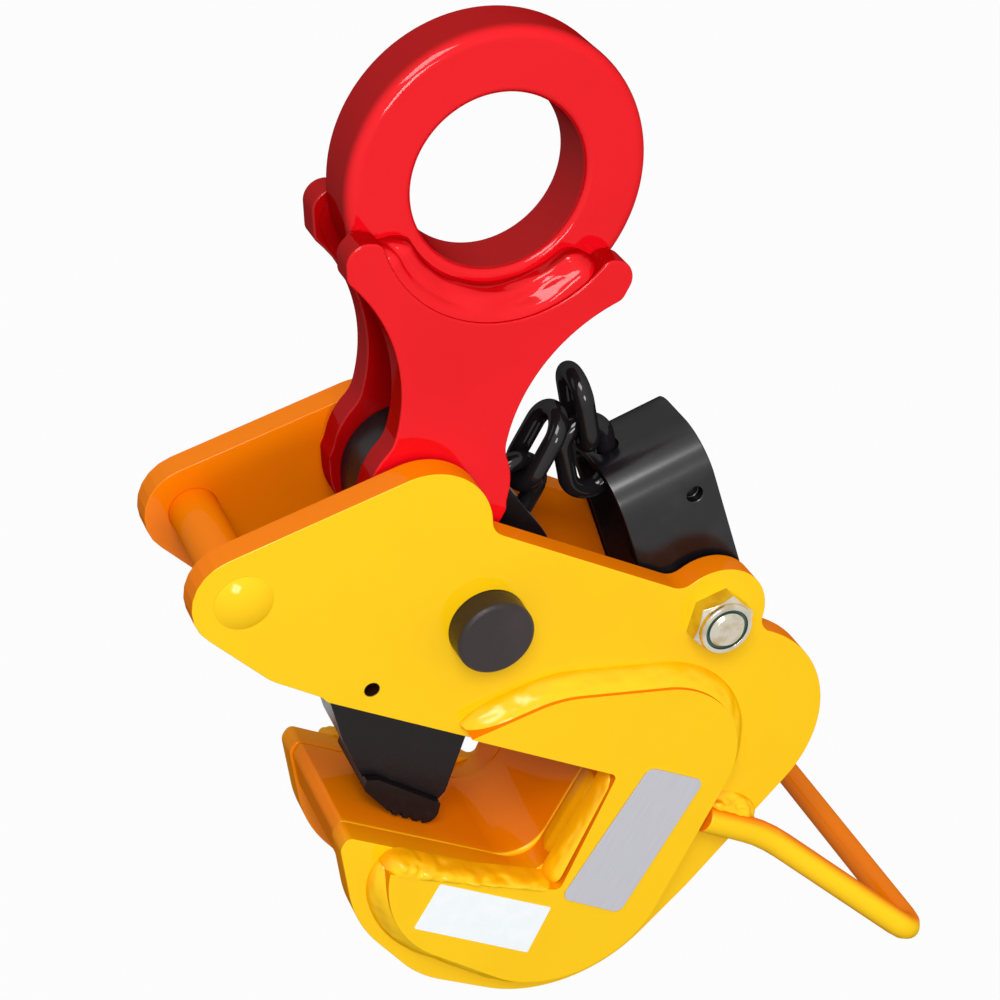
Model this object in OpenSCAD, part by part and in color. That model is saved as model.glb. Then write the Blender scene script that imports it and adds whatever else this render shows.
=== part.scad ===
// Horizontal lifting clamp: a C-shaped hook of welded plates, a cam that
// presses the load onto the jaw, a lifting eye that turns on the cam, and a
// lock stirrup that is tied to the cam with a short chain.
// Millimetres. X runs into the throat, Y along the pins, Z up. The origin is
// the axis of the main pin, midway between the two side plates.

/* [Side plates] */
// Distance between the inner faces of the side plates
plate_gap = 56; // [55:0.5:64]
// Thickness of one side plate
plate_t = 12; // [10:0.5:15]
// Height of the throat opening
throat_h = 57.5; // [56:0.5:64]
// Depth of the throat behind the main pin
throat_depth = 88.8; // [86:0.2:94]
// Level of the throat's upper edge below the main pin
throat_top = 50; // [48:0.5:52]
// Height of the straight upper edge above the main pin
plate_top = 37.8; // [35:0.2:40]
// Radius of the eye at the front end that holds the spacer rod
lobe_r = 19.8; // [17:0.2:23]
// Diameter of the small drilled hole in each side plate
relief_hole_d = 6; // [4:0.5:8]

/* [Doubler plates] */
// Thickness of one doubler plate
doubler_t = 10; // [8:0.5:14]
// Leg of the fillet weld around a doubler plate
doubler_weld = 6; // [4:0.5:8]

/* [Jaw liner] */
// Thickness of the bent liner that closes the throat between the side plates
liner_t = 20; // [16:0.5:24]

/* [Main pin] */
// Diameter of the main pin
main_pin_d = 32; // [28:0.5:33]
// Length of the main pin that stands out of each side plate
main_pin_proud = 10.8; // [6:0.2:16]
// Outer diameter of the spacers on the main pin
pin_spacer_d = 42; // [38:0.5:43]

/* [Spacer rod] */
// Diameter of the spacer rod at the front end
rod_d = 20; // [16:0.5:22]
// Diameter of its riveted heads
rivet_d = 23.5; // [23:0.5:28]
// Height of its riveted heads
rivet_h = 3.2; // [2:0.2:5]

/* [Cam] */
// Thickness of the cam
cam_t = 26; // [24:0.5:26.5]
// Width of the toothed shoe along the pins
shoe_w = 34; // [30:0.5:40]
// Diameter of the ring pin in the cam's head
ring_pin_d = 24; // [20:0.5:28]

/* [Lifting eye] */
// Diameter of the hole for the crane hook
eye_bore_d = 68; // [60:0.5:74]
// Outer diameter of the eye
eye_d = 117.5; // [114:0.5:122]
// Thickness of the eye
eye_t = 26.8; // [26:0.2:26.8]
// Edge rounding of the eye
eye_edge = 5; // [3:0.5:7]
// Thickness of one arm plate
arm_t = 12; // [9:0.5:12]
// Distance between the ring pin and the middle of the eye
arm_length = 127.9; // [124:0.1:134]
// Lean of the arms to the left of upright, in degrees
arm_lean = 16.1; // [12:0.1:20]
// Half width of the arms at their waist
arm_waist = 23; // [20:0.5:25]
// Radius of the arms round the ring pin
arm_lobe_r = 29.5; // [24:0.5:30]

/* [Lock stirrup] */
// Width of the strap that the stirrup is bent from
strap_w = 41.5; // [38:0.5:43]
// Thickness of the strap
strap_t = 5.5; // [4.5:0.5:5.5]
// Outside width of the stirrup along the pins
stirrup_w = 51; // [49:0.5:52]
// Length of the stirrup from its bolt to the outside of its web
stirrup_length = 74; // [72:0.5:77]
// Lean of the stirrup to the left of upright, in degrees
stirrup_lean = 47.5; // [45:0.5:51]
// Diameter of the lever bolt
bolt_d = 16; // [14:0.5:17]
// Width across the flats of the bolt head and the lock nut
nut_af = 24; // [23:0.5:27]
// Outer diameter of the sleeve on the lever bolt
sleeve_d = 22; // [20:0.5:24]

/* [Chain] */
// Diameter of the chain's wire
wire_d = 8; // [7:0.1:8]
// Inside length of a link
link_inner_l = 24; // [24:0.1:25]
// Inside width of a link
link_inner_w = 10.4; // [10.2:0.1:10.4]

/* [Carry handle] */
// Diameter of the handle's round bar
handle_d = 12; // [10:0.5:12]
// Width of the handle between the middles of its two legs
handle_w = 150; // [130:1:165]
// Reach of the handle behind the main pin
handle_reach = 272; // [250:1:285]

/* [Hidden] */

$fn = 64;
// Sides of a circle on the large arcs of the plates and arms
wide_arc_sides = 180;
wide_arc_r = 20;

// Gap between a shaft and the hole that turns on it
fit = 0.06;
// Gap between faces of pieces that slide past each other
side_gap = 0.4;

// Colours of the paint and of the bare parts
yellow = "#f6c21e";
red = "#e41e2b";
black = "#232021";
zinc = "#cfc9b0";
teal = "#1f4a46";

// Levels along Y, measured from the middle
inner_y = plate_gap / 2;
outer_y = inner_y + plate_t;
face_y = outer_y + doubler_t;
cam_y = cam_t / 2;
arm_inner_y = eye_t / 2;
arm_outer_y = arm_inner_y + arm_t;

// The jaw: X of the throat's back and Z of its upper edge and floor
throat_back = throat_depth;
throat_roof = -throat_top;
throat_floor = throat_roof - throat_h;

// Places in the plane of the plates, as [x, z]
lobe_at = [-101.2, -18];
hump_at = [-44.7, 28.1];
hump_r = 27;
belly_at = [-70, -22];
belly_r = 25.2;
bolt_at = [98.5, 31.2];
boss_r = 22.5;
shoulder_at = [130, -20];
shoulder_r = 52;
heel_at = [97, throat_floor + 2.5];
heel_r = 62;
back_at = [138, throat_floor + 19.5];
back_r = 28;
sole_at = [60, throat_floor + 12.5];
sole_r = 65.3;
keel_at = [72, throat_floor - 6.5];
keel_r = 53;
tip_at = [-1.5, throat_floor - 4.5];
tip_r = 6;
brow_at = [-27, throat_roof + 11];
brow_r = 11;
roof_corner_r = 5;
outside_corner_r = 3;
mouth_reach = lobe_r - lobe_at[0] + plate_t;
relief_hole_at = [-32.4, -39.9];
inner_corner_r = 12;
edge_fillet = 8;

// The doubler plate: its own arcs, inside those of the side plate
crown_at = [103, -39];
crown_r = 40;
cheek_at = [70, -62];
cheek_r = 50;
nose_at = [16, throat_roof + 4];
nose_r = 1.5;
doubler_heel_r = heel_r - 12.5;
doubler_sole_at = [62, throat_floor + 10.5];
doubler_sole_r = 52;
doubler_roof = throat_roof + 4.5;
doubler_corner_at = [throat_back + 5.8, throat_floor + 2.4];
doubler_lip_at = [13, throat_floor - 6.5];
doubler_corner_r = 3;

// The liner: its large inner bend, its nose and its distance from the plates' outline
liner_bend_r = 18;
liner_nose_x = -20;
liner_inset = 1.2;

// The cam: the ring pin's place and the arcs of the body
ring_pin_at = [-38, 35];
cam_head_r = 25.5;
cam_hub_r = 40;
cam_back_at = [-12, -28];
cam_back_r = 36;
cam_leg_points = [[-38, -54], [34, -40], [37, -66], [44, -92], [42, -99], [4, -95], [-14, -80]];
shoe_clearance = 0.4;
shoe_floor = throat_floor + shoe_clearance;
shoe_top_points = [[3, -93], [8, -91.5], [42, -96]];
shoe_heel_at = [6.5, -95.5];
shoe_heel_r = 3;
shoe_toe_at = [38, shoe_floor + 5.5];
shoe_sole_at = [24, shoe_floor + 6.5];
shoe_round_r = 5.5;
tooth_count = 6;
tooth_first_at = [11, shoe_floor + 2.6];
tooth_step = [5.2, -0.52];
tooth_w = 2.4;

// The lifting eye's centre, from the lean of the arms
eye_at = ring_pin_at + arm_length * [-sin(arm_lean), cos(arm_lean)];
arm_cup_r = 50.3;
eye_bore_edge = 3;
ring_weld_leg = 9;
ring_weld_spread = 58;
front_horn_at = [49.5, -30];
rear_horn_at = [50.5, -25.5];
horn_r = 8;
arm_corner_r = 5;
waist_r = 70;
waist_z = -97;
lobe_rise = 6;
lobe_fillet = 14;

// The stirrup's directions: along it, away from the bolt, and across its strap
along = [-sin(stirrup_lean), cos(stirrup_lean)];
across = [cos(stirrup_lean), sin(stirrup_lean)];
bend_r = 18;
chain_hole_d = 10.5;
chain_hole_edge = 8.5;
leg_hole_d = 7;
leg_hole_depth = strap_t - 1.5;
leg_hole_at = [10.4, 51];

// The chain: a link's end arc has its centre link_arc away from the link's middle.
// A wire lies against the inside of the arc it hangs in, link_play off its centre.
link_pitch = link_inner_l + wire_d;
link_arc = link_inner_l / 2 - link_inner_w / 2;
link_wire_r = (link_inner_w + wire_d) / 2;
link_play = link_inner_w / 2 - wire_d / 2 - 0.3;
link_1_turn = 83 + stirrup_lean;
link_2_turn = 130;
link_3_turn = 90;
eye_leg_foot = 30;
chain_reach = 31.693;

function heading(turn) = [cos(turn), sin(turn)];

// Link 1 hangs in the web's hole by its straight side, and link 2 on its upper arc
web_hole_at = bolt_at + along * (stirrup_length - strap_t / 2)
    + across * (chain_hole_edge - strap_w / 2);
link_1_at = web_hole_at + link_wire_r * heading(link_1_turn + 90) + 1.5 * heading(link_1_turn);
link_1_arc_at = link_1_at + link_arc * heading(link_1_turn);
link_2_at = link_1_arc_at + (link_play + link_pitch / 2) * heading(link_2_turn);

// The cam's chain eye keeps its distance from the web's hole, and link 3 stands on it
eye_arch_at = [web_hole_at[0] - chain_reach, 45.8];
link_3_foot = eye_arch_at + [0, link_play];
link_3_at = link_3_foot + link_pitch / 2 * heading(link_3_turn);

// The handle's bend points on its front leg, as [x, y, z]
handle_z = -57.6;
handle_y = outer_y + handle_d / 2;
handle_root = [146.5, -handle_y, handle_z];
handle_knee = [182, -handle_y, handle_z - 0.6];
handle_end = [handle_reach, -handle_w / 2, -76];
handle_knee_r = 60;
handle_bend_r = 12;
handle_gap_h = 26;

// A plate in the XZ plane from a 2D outline drawn as x and z, between two Y levels
module plate(y0, y1) {
    translate([0, max(y0, y1), 0])
        rotate([90, 0, 0])
            linear_extrude(height = abs(y1 - y0))
                children();
}

// A round bar along Y at a place in the XZ plane
module bar_y(at, d, y0, y1) {
    translate([at[0], max(y0, y1), at[1]])
        rotate([90, 0, 0])
            cylinder(h = abs(y1 - y0), d = d);
}

// A disc in the 2D outline, with more sides where its edge is long
module disc(at, r) {
    translate(at)
        circle(r = r, $fn = r > wide_arc_r ? wide_arc_sides : $fn);
}

// The throat as a 2D opening, with its roof at a given level
module throat_cut(roof, corner) {
    hull() {
        translate([throat_back - corner, throat_floor + corner])
            circle(r = corner);
        translate([throat_back - roof_corner_r, roof - roof_corner_r])
            circle(r = roof_corner_r);
        translate([-mouth_reach, throat_floor])
            square([roof_corner_r, roof - throat_floor]);
    }
}

// The throat of a doubler: a little deeper than that of the side plate, lowest at the
// mouth, so that a weld can lie along its edge
module doubler_throat_cut() {
    offset(r = doubler_corner_r) offset(delta = -doubler_corner_r)
        polygon([[-mouth_reach, doubler_roof], [throat_back, doubler_roof], doubler_corner_at,
                 doubler_lip_at, [-mouth_reach, doubler_lip_at[1]]]);
}

// The outer shape of the hook below and behind the throat
module jaw_outline() {
    hull() {
        disc(shoulder_at, shoulder_r);
        disc(back_at, back_r);
        disc(heel_at, heel_r);
        disc(sole_at, sole_r);
        disc(keel_at, keel_r);
        disc(tip_at, tip_r);
    }
}

// The side plate's whole outline
module side_outline() {
    offset(r = outside_corner_r, $fn = 24) offset(delta = -outside_corner_r)
        difference() {
            offset(r = -edge_fillet) offset(delta = edge_fillet)
                union() {
                    hull() {
                        disc(lobe_at, lobe_r);
                        disc(hump_at, hump_r);
                        disc(belly_at, belly_r);
                        disc(brow_at, brow_r);
                    }
                    translate([hump_at[0], throat_roof])
                        square([bolt_at[0] - hump_at[0], throat_top + plate_top]);
                    disc(bolt_at, boss_r);
                    jaw_outline();
                }
            throat_cut(throat_roof, inner_corner_r);
        }
}

module side_plate(side) {
    color(yellow)
        difference() {
            plate(side * inner_y, side * outer_y)
                side_outline();
            bar_y([0, 0], main_pin_d, side * (inner_y - 1), side * (outer_y + 1));
            bar_y(lobe_at, rod_d, side * (inner_y - 1), side * (outer_y + 1));
            bar_y(bolt_at, bolt_d, side * (inner_y - 1), side * (outer_y + 1));
            bar_y(relief_hole_at, relief_hole_d, side * (inner_y - 1), side * (outer_y + 1));
        }
}

// The doubler's outline before the throat is cut out of it
module doubler_blank() {
    hull() {
        disc(crown_at, crown_r);
        disc(cheek_at, cheek_r);
        disc(nose_at, nose_r);
        disc(heel_at, doubler_heel_r);
        disc(doubler_sole_at, doubler_sole_r);
    }
}

module doubler_outline() {
    difference() {
        doubler_blank();
        doubler_throat_cut();
    }
}

module doubler_plate(side) {
    color(yellow)
        plate(side * outer_y, side * face_y)
            doubler_outline();
}

// The weld in the corner between doubler and side plate, as a plain strip
module doubler_weld_bead(side) {
    color(yellow)
        plate(side * outer_y, side * (outer_y + doubler_weld))
            intersection() {
                difference() {
                    offset(delta = doubler_weld)
                        doubler_blank();
                    doubler_blank();
                }
                weld_zone();
            }
}

// Where the weld runs: on the side plate, outside the throat, clear of the handle
module weld_zone() {
    difference() {
        side_outline();
        doubler_throat_cut();
        translate([handle_root[0] - 12, handle_z - handle_gap_h / 2])
            square([handle_reach, handle_gap_h]);
    }
}

// The bent liner between the side plates: floor, large inner bend and back wall
module jaw_liner() {
    wall_top = throat_roof - 1;
    color(yellow)
        plate(-inner_y, inner_y)
            difference() {
                intersection() {
                    offset(delta = -liner_inset)
                        jaw_outline();
                    translate([liner_nose_x, throat_floor - liner_t])
                        square([throat_back + liner_t - liner_nose_x, wall_top - throat_floor + liner_t]);
                }
                hull() {
                    translate([throat_back - liner_bend_r, throat_floor + liner_bend_r])
                        circle(r = liner_bend_r);
                    translate([throat_back - roof_corner_r, wall_top + roof_corner_r])
                        circle(r = roof_corner_r);
                    translate([-mouth_reach, throat_floor])
                        square([roof_corner_r, wall_top - throat_floor + roof_corner_r]);
                }
            }
}

// The spacer rod with a domed rivet head on each end
module spacer_rod() {
    dome_r = (pow(rivet_d / 2, 2) + pow(rivet_h, 2)) / (2 * rivet_h);
    color(yellow)
        translate([lobe_at[0], 0, lobe_at[1]]) {
            rotate([90, 0, 0])
                cylinder(h = 2 * outer_y, d = rod_d, center = true);
            for (turn = [0, 180])
                rotate([0, 0, turn])
                    translate([0, -outer_y, 0])
                        rotate([90, 0, 0])
                            rotate_extrude()
                                intersection() {
                                    translate([0, rivet_h - dome_r])
                                        circle(r = dome_r, $fn = 180);
                                    square([rivet_d, rivet_h]);
                                }
        }
}

// A pin with a small chamfer on both ends
module chamfered_pin(at, d, half_length, chamfer) {
    translate([at[0], 0, at[1]])
        rotate([90, 0, 0]) {
            cylinder(h = 2 * (half_length - chamfer), d = d, center = true);
            for (flip = [0, 1])
                mirror([0, 0, flip])
                    translate([0, 0, half_length - chamfer])
                        cylinder(h = chamfer, d1 = d, d2 = d - 2 * chamfer);
        }
}

module main_pin() {
    color(black)
        chamfered_pin([0, 0], main_pin_d, outer_y + main_pin_proud, pin_chamfer);
}

module pin_spacer(side) {
    color(black)
        difference() {
            bar_y([0, 0], pin_spacer_d, side * (cam_y + side_gap), side * inner_y);
            bar_y([0, 0], main_pin_d, side * cam_y, side * (inner_y + 1));
        }
}

// A hexagon between two Y levels, with its corners turned off at one end
module hex_y(at, af, y0, y1) {
    intersection() {
        translate([at[0], max(y0, y1), at[1]])
            rotate([90, hex_turn, 0])
                cylinder(h = abs(y1 - y0), d = af / cos(30), $fn = 6);
        translate([at[0], y0, at[1]])
            rotate([y1 < y0 ? 90 : -90, 0, 0])
                union() {
                    cylinder(h = abs(y1 - y0) - hex_chamfer_h, d = af / cos(30) + 1);
                    translate([0, 0, abs(y1 - y0) - hex_chamfer_h])
                        cylinder(h = hex_chamfer_h, d1 = af / cos(30) + 1, d2 = af - 1);
                }
    }
}

bolt_tip_y = outer_y + 11.4;
hex_chamfer_h = 2;
hex_turn = 15;
pin_chamfer = 1.2;
bolt_head_h = 10;
bolt_tip_h = 1.2;
bolt_tip_d = bolt_d - 2.6;
nut_hex_h = 8;
nut_h = 10.1;
collar_d = nut_af - 0.8;
collar_lip_d = nut_af - 1.8;
collar_lip_h = 0.9;
insert_d = nut_af - 5.2;
insert_sunk = 0.8;
insert_h = 2.2;

module lever_bolt() {
    color(zinc) {
        bar_y(bolt_at, bolt_d, -bolt_tip_y + bolt_tip_h, outer_y + 1);
        translate([bolt_at[0], -bolt_tip_y + bolt_tip_h, bolt_at[1]])
            rotate([90, 0, 0])
                cylinder(h = bolt_tip_h, d1 = bolt_d, d2 = bolt_tip_d);
        hex_y(bolt_at, nut_af, outer_y, outer_y + bolt_head_h);
    }
}

// The lock nut: a hexagon with a round collar that holds the nylon ring
module lock_nut() {
    color(zinc)
        difference() {
            union() {
                hex_y(bolt_at, nut_af, -outer_y, -outer_y - nut_hex_h);
                translate([bolt_at[0], -outer_y - nut_hex_h + 1, bolt_at[1]])
                    rotate([90, 0, 0])
                        cylinder(h = nut_h - nut_hex_h + 1 - collar_lip_h, d = collar_d);
                translate([bolt_at[0], -outer_y - nut_h + collar_lip_h, bolt_at[1]])
                    rotate([90, 0, 0])
                        cylinder(h = collar_lip_h, d1 = collar_d, d2 = collar_lip_d);
            }
            bar_y(bolt_at, bolt_d, -outer_y + 1, -outer_y - nut_h - 1);
            bar_y(bolt_at, insert_d, -outer_y - nut_h + insert_h + insert_sunk, -outer_y - nut_h - 1);
        }
}

module nut_insert() {
    color(teal)
        difference() {
            bar_y(bolt_at, insert_d, -outer_y - nut_h + insert_h + insert_sunk, -outer_y - nut_h + insert_sunk);
            bar_y(bolt_at, bolt_d, -outer_y, -outer_y - nut_h);
        }
}

module lever_sleeve() {
    color(zinc)
        difference() {
            bar_y(bolt_at, sleeve_d, -inner_y, inner_y);
            bar_y(bolt_at, bolt_d, -inner_y - 1, inner_y + 1);
        }
}

// Direction of a route at point i, halfway between its two stretches
function unit(v) = v / norm(v);
function along_route(points, i) =
    unit((i > 0 ? unit(points[i] - points[i - 1]) : [0, 0, 0])
        + (i < len(points) - 1 ? unit(points[i + 1] - points[i]) : [0, 0, 0]));

// Points round the bar at point i of its route
function bar_ring(points, i, r, sides) =
    let (t = along_route(points, i), n = unit(cross(t, [0, 0, 1])), m = cross(n, t))
    [for (k = [0 : sides - 1]) points[i] + r * (cos(k * 360 / sides) * n + sin(k * 360 / sides) * m)];

// A round bar that follows a route of points
module bent_bar(points, d) {
    sides = 20;
    last = (len(points) - 1) * sides;
    polyhedron(
        points = [for (i = [0 : len(points) - 1]) each bar_ring(points, i, d / 2, sides)],
        faces = concat(
            [[for (k = [0 : sides - 1]) k]],
            [for (i = [0 : len(points) - 2], k = [0 : sides - 1])
                let (a = i * sides + k, b = i * sides + (k + 1) % sides)
                [a, a + sides, b + sides, b]],
            [[for (k = [sides - 1 : -1 : 0]) last + k]]));
}

// Points of a rounded corner at b, coming from a and going on to c
function corner_points(a, b, c, r, steps) =
    let (u = (a - b) / norm(a - b), v = (c - b) / norm(c - b),
         half = acos(u * v) / 2, cut = r / tan(half),
         centre = b + (u + v) / norm(u + v) * r / sin(half),
         from = b + u * cut - centre, to = b + v * cut - centre,
         sweep = 180 - 2 * half)
    [for (i = [0 : steps])
        centre + (sin(sweep * (1 - i / steps)) * from + sin(sweep * i / steps) * to) / sin(sweep)];

function mirrored_y(p) = [p[0], -p[1], p[2]];

module carry_handle() {
    far_end = mirrored_y(handle_end);
    front_leg = concat([handle_root],
        corner_points(handle_root, handle_knee, handle_end, handle_knee_r, 3),
        corner_points(handle_knee, handle_end, far_end, handle_bend_r, 4));
    rear_leg = [for (i = [len(front_leg) - 1 : -1 : 0]) mirrored_y(front_leg[i])];
    color(yellow)
        bent_bar(concat(front_leg, rear_leg), handle_d);
}

// The cam: head round the ring pin, hub round the main pin, and the pressing leg
module cam_outline() {
    difference() {
        union() {
            hull() {
                disc(ring_pin_at, cam_head_r);
                circle(r = cam_hub_r);
            }
            hull() {
                circle(r = cam_hub_r);
                disc(cam_back_at, cam_back_r);
            }
            cam_leg_outline();
        }
        shoe_outline();
    }
}

module cam_leg_outline() {
    hull() {
        disc(cam_back_at, cam_back_r - 4);
        polygon(cam_leg_points);
    }
}

// The toothed shoe that presses on the load, seen from the side
module shoe_outline() {
    hull() {
        polygon(shoe_top_points);
        disc(shoe_heel_at, shoe_heel_r);
        disc(shoe_toe_at, shoe_round_r);
        disc(shoe_sole_at, shoe_round_r);
    }
}

module cam_body() {
    color(black)
        difference() {
            plate(-cam_y, cam_y)
                cam_outline();
            bar_y([0, 0], main_pin_d + 2 * fit, -cam_y - 1, cam_y + 1);
            bar_y(ring_pin_at, ring_pin_d, -cam_y - 1, cam_y + 1);
        }
}

// The shoe is wider than the cam and has teeth across its lower face
module cam_shoe() {
    color(black)
        difference() {
            plate(-shoe_w / 2, shoe_w / 2)
                shoe_outline();
            for (i = [0 : tooth_count - 1])
                translate([tooth_first_at[0] + i * tooth_step[0], 0, tooth_first_at[1] + i * tooth_step[1]])
                    rotate([0, 45, 0])
                        cube([tooth_w, shoe_w + 2, tooth_w], center = true);
        }
}

module ring_pin() {
    color(black)
        chamfered_pin(ring_pin_at, ring_pin_d, inner_y - 1, 0.8);
}

// The eye that is welded on the cam's back: an arch of chain wire
module chain_eye() {
    color(black)
        translate([eye_arch_at[0], 0, eye_arch_at[1]])
            difference() {
                union() {
                    rotate([90, 0, 0])
                        rotate_extrude(angle = 180)
                            translate([link_wire_r, 0])
                                circle(d = wire_d, $fn = 32);
                    for (side = [-1, 1])
                        translate([side * link_wire_r, 0, eye_leg_foot - eye_arch_at[1]])
                            cylinder(h = eye_arch_at[1] - eye_leg_foot, d = wire_d, $fn = 32);
                }
                translate([-eye_arch_at[0], 0, -eye_arch_at[1]])
                    plate(-cam_y, cam_y)
                        cam_outline();
            }
}

// The eye's section: a rectangle with rounded corners, from bore to rim
module eye_section() {
    width = (eye_d - eye_bore_d) / 2;
    for (side = [-1, 1]) {
        translate([eye_d / 2 - eye_edge, side * (eye_t / 2 - eye_edge)])
            circle(r = eye_edge);
        translate([eye_bore_d / 2 + eye_bore_edge, side * (eye_t / 2 - eye_bore_edge)])
            circle(r = eye_bore_edge);
    }
    translate([eye_bore_d / 2, -eye_t / 2 + eye_bore_edge])
        square([width / 2, eye_t - 2 * eye_bore_edge]);
    translate([eye_bore_d / 2 + eye_bore_edge, -eye_t / 2])
        square([width - eye_bore_edge - eye_edge, eye_t]);
    translate([eye_bore_d / 2 + width / 2, -eye_t / 2 + eye_edge])
        square([width / 2, eye_t - 2 * eye_edge]);
}

// The lifting eye's own frame: its centre, leaning with the arms
module at_eye() {
    translate([eye_at[0], 0, eye_at[1]])
        rotate([0, -arm_lean, 0])
            rotate([90, 0, 0])
                children();
}

module lifting_ring() {
    color(red)
        at_eye()
            rotate_extrude($fn = 128)
                eye_section();
}

// An arm's outline, with the eye's centre as origin and the ring pin straight below
module arm_outline(horn_at) {
    offset(r = arm_corner_r) offset(delta = -arm_corner_r)
        difference() {
            offset(r = -lobe_fillet) offset(delta = lobe_fillet)
                union() {
                    difference() {
                        hull() {
                            for (side = [-1, 1])
                                disc([side * horn_at[0], horn_at[1]], horn_r);
                            disc([0, -arm_length], arm_lobe_r);
                        }
                        for (side = [-1, 1])
                            disc([side * (arm_waist + waist_r), waist_z], waist_r);
                    }
                    hull() {
                        disc([0, -arm_length], arm_lobe_r);
                        disc([0, lobe_rise - arm_length], arm_lobe_r);
                    }
                }
            disc([0, 0], arm_cup_r);
        }
}

module ring_arm(side) {
    color(red)
        difference() {
            at_eye()
                mirror([0, 0, side > 0 ? 1 : 0])
                    translate([0, 0, arm_inner_y])
                        linear_extrude(height = arm_t)
                            arm_outline(side > 0 ? rear_horn_at : front_horn_at);
            bar_y(ring_pin_at, ring_pin_d + 2 * fit, side * (arm_inner_y - 1), side * (arm_outer_y + 1));
        }
}

// The heavy weld bead in the cup between an arm and the face of the eye
module ring_weld(side) {
    color(red)
        at_eye()
            mirror([0, 0, side > 0 ? 1 : 0])
                translate([0, 0, arm_inner_y])
                    rotate([0, 0, -90 - ring_weld_spread])
                        rotate_extrude(angle = 2 * ring_weld_spread)
                            intersection() {
                                translate([arm_cup_r, 0])
                                    circle(r = ring_weld_leg);
                                translate([arm_cup_r - ring_weld_leg, 0])
                                    square([ring_weld_leg, ring_weld_leg]);
                            }
}

// The stirrup's own frame: X along the pins, Y along the strap, Z across it
module at_stirrup() {
    translate([bolt_at[0], 0, bolt_at[1]])
        rotate([0, -stirrup_lean, 0])
            rotate([90, 0, 90])
                children();
}

// A U outline with round outside corners, open at its lower end
module u_outline(width, length, radius) {
    hull() {
        for (side = [-1, 1])
            translate([side * (width / 2 - radius), length - radius])
                circle(r = radius);
        translate([-width / 2, -30])
            square([width, 1]);
    }
}

module lock_stirrup() {
    half_w = strap_w / 2;
    color(black)
        at_stirrup()
            difference() {
                intersection() {
                    linear_extrude(height = strap_w, center = true)
                        difference() {
                            u_outline(stirrup_w, stirrup_length, bend_r);
                            translate([0, -1])
                                u_outline(stirrup_w - 2 * strap_t, stirrup_length - strap_t + 1,
                                          bend_r - strap_t);
                        }
                    rotate([0, 90, 0])
                        linear_extrude(height = stirrup_w + 2, center = true)
                            union() {
                                circle(r = half_w);
                                translate([-half_w, 0])
                                    square([strap_w, stirrup_length + 1]);
                            }
                }
                rotate([0, 90, 0])
                    cylinder(h = stirrup_w + 2, d = sleeve_d + 2 * fit, center = true);
                translate([0, stirrup_length + 1, chain_hole_edge - half_w])
                    rotate([90, 0, 0])
                        cylinder(h = strap_t + 2, d = chain_hole_d);
                for (side = [-1, 1])
                    translate([side * (stirrup_w / 2 - leg_hole_depth / 2 + 0.5), leg_hole_at[1], leg_hole_at[0]])
                        rotate([0, 90, 0])
                            cylinder(h = leg_hole_depth + 1, d = leg_hole_d, center = true);
            }
}

// One chain link round its middle: long axis along X, in the XY plane
module link() {
    for (turn = [0, 180])
        rotate([0, 0, turn])
            translate([link_arc, 0, 0])
                rotate([0, 0, -90])
                    rotate_extrude(angle = 180)
                        translate([link_wire_r, 0])
                            circle(d = wire_d, $fn = 32);
    for (side = [-1, 1])
        translate([-link_arc, side * link_wire_r, 0])
            rotate([0, 90, 0])
                cylinder(h = 2 * link_arc, d = wire_d, $fn = 32);
}

// A link placed in the middle plane: its turn above the X axis, lying or upright
module chain_link(at, turn, upright) {
    color(black)
        translate([at[0], 0, at[1]])
            rotate([0, -turn, 0])
                rotate([upright ? 0 : 90, 0, 0])
                    link();
}

side_plate(-1);  // front_side_plate
side_plate(1);  // rear_side_plate
doubler_plate(-1);  // front_doubler_plate
doubler_plate(1);  // rear_doubler_plate
doubler_weld_bead(-1);  // front_doubler_weld
doubler_weld_bead(1);  // rear_doubler_weld
jaw_liner();
spacer_rod();
main_pin();
pin_spacer(-1);  // front_pin_spacer
pin_spacer(1);  // rear_pin_spacer
lever_bolt();
lock_nut();
nut_insert();
lever_sleeve();
carry_handle();
cam_body();
cam_shoe();
ring_pin();
chain_eye();
lifting_ring();
ring_arm(-1);  // front_ring_arm
ring_arm(1);  // rear_ring_arm
ring_weld(-1);  // front_ring_weld
ring_weld(1);  // rear_ring_weld
lock_stirrup();
chain_link(link_1_at, link_1_turn, false);  // chain_link_1
chain_link(link_2_at, link_2_turn, true);  // chain_link_2
chain_link(link_3_at, link_3_turn, true);  // chain_link_3
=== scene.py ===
import math
import bpy
from mathutils import Matrix, Vector, noise


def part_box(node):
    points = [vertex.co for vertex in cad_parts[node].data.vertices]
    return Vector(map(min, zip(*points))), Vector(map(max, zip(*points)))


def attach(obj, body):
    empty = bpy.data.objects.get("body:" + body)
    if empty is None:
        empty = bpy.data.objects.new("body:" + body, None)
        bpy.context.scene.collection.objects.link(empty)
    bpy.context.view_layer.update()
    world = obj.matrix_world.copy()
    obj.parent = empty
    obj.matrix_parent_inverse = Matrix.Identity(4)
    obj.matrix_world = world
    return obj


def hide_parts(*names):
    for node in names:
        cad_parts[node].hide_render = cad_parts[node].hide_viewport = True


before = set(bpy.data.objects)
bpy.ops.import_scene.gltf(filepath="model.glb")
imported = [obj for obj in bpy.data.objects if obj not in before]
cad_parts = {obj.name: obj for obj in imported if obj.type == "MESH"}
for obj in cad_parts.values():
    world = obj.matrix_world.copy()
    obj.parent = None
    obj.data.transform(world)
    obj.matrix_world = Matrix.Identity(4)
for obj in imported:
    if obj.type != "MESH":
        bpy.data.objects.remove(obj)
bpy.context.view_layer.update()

# The studio: a large white floor far below the held clamp and a pale world. Both are
# plain white to the camera and in reflections, and light the clamp more weakly.
FLOOR_Z = -0.62
FLOOR_HALF = 40.0
FLOOR_WHITE = 0.97
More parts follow.
